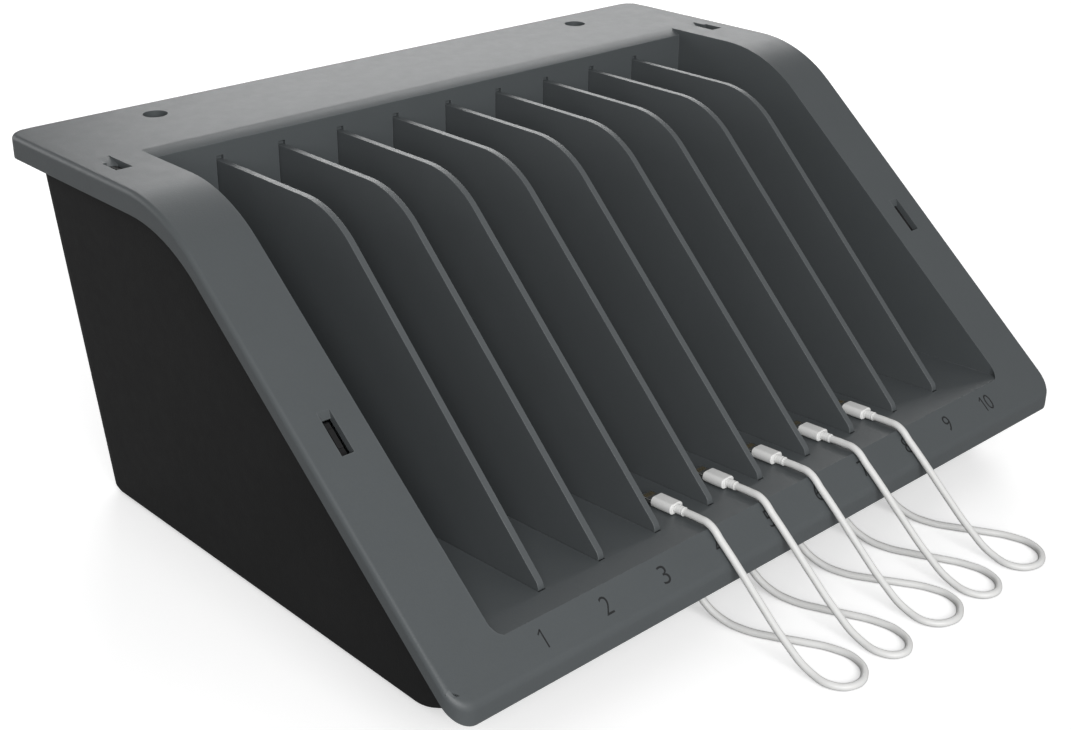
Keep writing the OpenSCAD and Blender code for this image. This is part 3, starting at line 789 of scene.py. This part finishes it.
charger_black = skinned("charger_black", (0.03, 0.031, 0.033), 0.5, height=0.00004, tone=0.2)
board_green = skinned(
    "board_green", (0.02, 0.11, 0.04), 0.3, grain=900, height=0.00002, tone=0.35)
ferrite = skinned("ferrite", (0.05, 0.04, 0.03), 0.6, grain=1200, tone=0.3)
sleeve_blue = skinned("sleeve_blue", (0.02, 0.035, 0.08), 0.25, height=0.00001, tone=0.15)
aluminium = skinned(
    "fin_aluminium", (0.74, 0.75, 0.76), 0.38, grain=1100, height=0.00002, tone=0.12,
    settings={"Metallic": 1.0})
wire_brown = skinned("wire_brown", (0.13, 0.06, 0.03), 0.45, tone=0.15)

INNER_FINISH = {
    "lead_comb": tub_plastic, "inner_leads": lead_vinyl, "charge_plugs": plug_plastic,
    "charger_base": charger_black, "charger_cover": charger_black, "charger_board": board_green,
    "charge_ports": zinc, "transformer": ferrite, "capacitors": sleeve_blue,
    "heat_sink": aluminium, "charger_screws": zinc, "mains_wires": wire_brown}
REPLACED_FINISH = {
    "tub": tub_plastic, "deck": deck_plastic, "feet": foot_rubber,
    "outlet_grommets": grommet_rubber, "deck_screws": zinc, "inlet_body": inlet_black,
    "inlet_pins": contact_metal, "inlet_screws": zinc, "power_rocker": rocker_red}
REPLACED_FINISH.update({f"divider_{i}": divider_plastic for i in range(1, 10)})
for k in LEAD_SWING:
    REPLACED_FINISH.update({
        f"lead_{k}": lead_vinyl, f"plug_{k}": plug_plastic, f"plug_tab_{k}": contact_metal})
for node, material in {**INNER_FINISH, **REPLACED_FINISH}.items():
    for slot in nodes[node].material_slots:
        slot.material = material

# ---- Floor and light ------------------------------------------------------
# A plain pale floor under a soft overhead light, with a broad card of light
# beyond the ledge that gives the satin plastic its sheen.

FLOOR_AS_LIGHT = (0.3, 0.3, 0.3, 1)
SKY_AS_LIGHT = 0.28
SKY_AS_SEEN = 0.7

floor_paint = skinned(
    "floor_paint", (0.86, 0.86, 0.86), 0.6, grain=300, height=0.00002, tone=0.02, sheen=0.05,
    settings={"Emission Strength": 0.42})
floor_tree = floor_paint.node_tree
floor_inputs = floor_tree.nodes["Principled BSDF"].inputs
floor_ray = floor_tree.nodes.new("ShaderNodeLightPath")
factor, as_light, as_seen, result = blended(floor_tree, "Color")
as_light.default_value = FLOOR_AS_LIGHT
floor_tree.links.new(floor_ray.outputs["Is Camera Ray"], factor)
floor_tree.links.new(floor_tree.nodes["skin"].outputs["Colour"], as_seen)
floor_tree.links.new(result, floor_inputs["Base Color"])
floor_tree.links.new(floor_ray.outputs["Is Camera Ray"], floor_inputs["Emission Color"])
bpy.ops.object.select_all(action="DESELECT")
bpy.ops.mesh.primitive_plane_add(size=14, location=(0, 0, 0))
floor = bpy.context.object
floor.name = "floor"
floor.data.materials.append(floor_paint)


def soft_light(name, place, target, size, power):
    """A rectangular card of white light, turned to face its target."""
    data = bpy.data.lights.new(name, "AREA")
    data.shape = "RECTANGLE"
    data.size, data.size_y = size
    data.energy = power
    light = bpy.data.objects.new(name, data)
    light.location = place
    light.rotation_mode = "QUATERNION"
    light.rotation_quaternion = (Vector(target) - Vector(place)).to_track_quat("-Z", "Y")
    bpy.context.scene.collection.objects.link(light)


soft_light("overhead", place=(0.1, 0.15, 1.5), target=(0, 0, 0.1), size=(1.6, 1.6), power=1.5)
soft_light("beyond_ledge", place=(1.05, 1.15, 0.85), target=(0, 0.05, 0.15), size=(1.3, 0.7),
           power=10.5)
soft_light("front_fill", place=(-0.72, -1.38, 0.8), target=(0, 0, 0.08), size=(1.3, 0.9), power=26)
soft_light("rear_fill", place=(-0.9, 1.6, 0.6), target=(0, 0, 0.08), size=(1.2, 0.8), power=7)
world = bpy.data.worlds.new("studio")
bpy.context.scene.world = world
world.use_nodes = True
sky = world.node_tree.nodes["Background"]
sky.inputs["Color"].default_value = (1, 1, 1, 1)
sky_ray = world.node_tree.nodes.new("ShaderNodeLightPath")
factor, as_light, as_seen, result = blended(world.node_tree, "Float")
as_light.default_value = SKY_AS_LIGHT
as_seen.default_value = SKY_AS_SEEN
world.node_tree.links.new(sky_ray.outputs["Is Camera Ray"], factor)
world.node_tree.links.new(result, sky.inputs["Strength"])
bpy.context.scene.view_settings.view_transform = "Standard"
